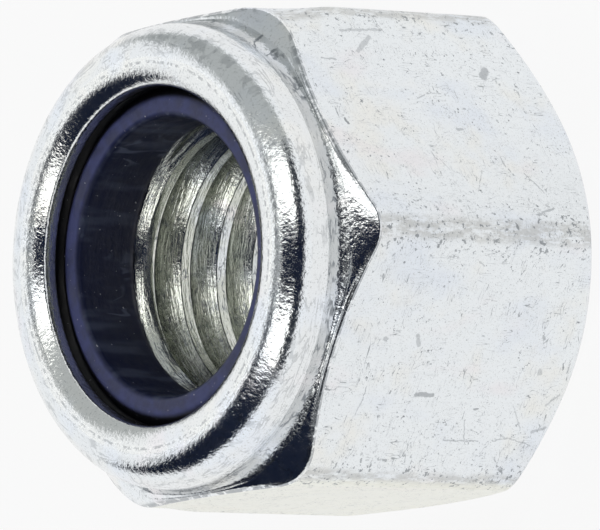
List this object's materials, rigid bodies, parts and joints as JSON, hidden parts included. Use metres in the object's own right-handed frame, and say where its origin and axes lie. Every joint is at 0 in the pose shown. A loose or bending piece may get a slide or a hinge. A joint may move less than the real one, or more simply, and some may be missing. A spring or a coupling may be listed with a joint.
{
  "type": "nylon insert lock nut",
  "caption": "Zinc-plated hexagon lock nut, M12 coarse thread, with a rolled collar that traps a dark blue nylon locking ring above the thread.",
  "frame": {"origin": "centre of the bearing face, on the thread axis", "axes": "+Z along the thread axis, from the bearing face towards the rolled collar; +X out through the middle of a wrench flat; +Y through a corner of the hexagon"},
  "size_m": [0.018, 0.0204, 0.0145],
  "materials": {
    "zinc_plated_steel": "bright zinc plate over forged and rolled steel, fine scratches",
    "blue_nylon": "satin moulded nylon, dark navy blue"
  },
  "bodies": {
    "root": {"nut_body": "zinc_plated_steel", "nylon_insert": "blue_nylon"}
  },
  "joints": []
}
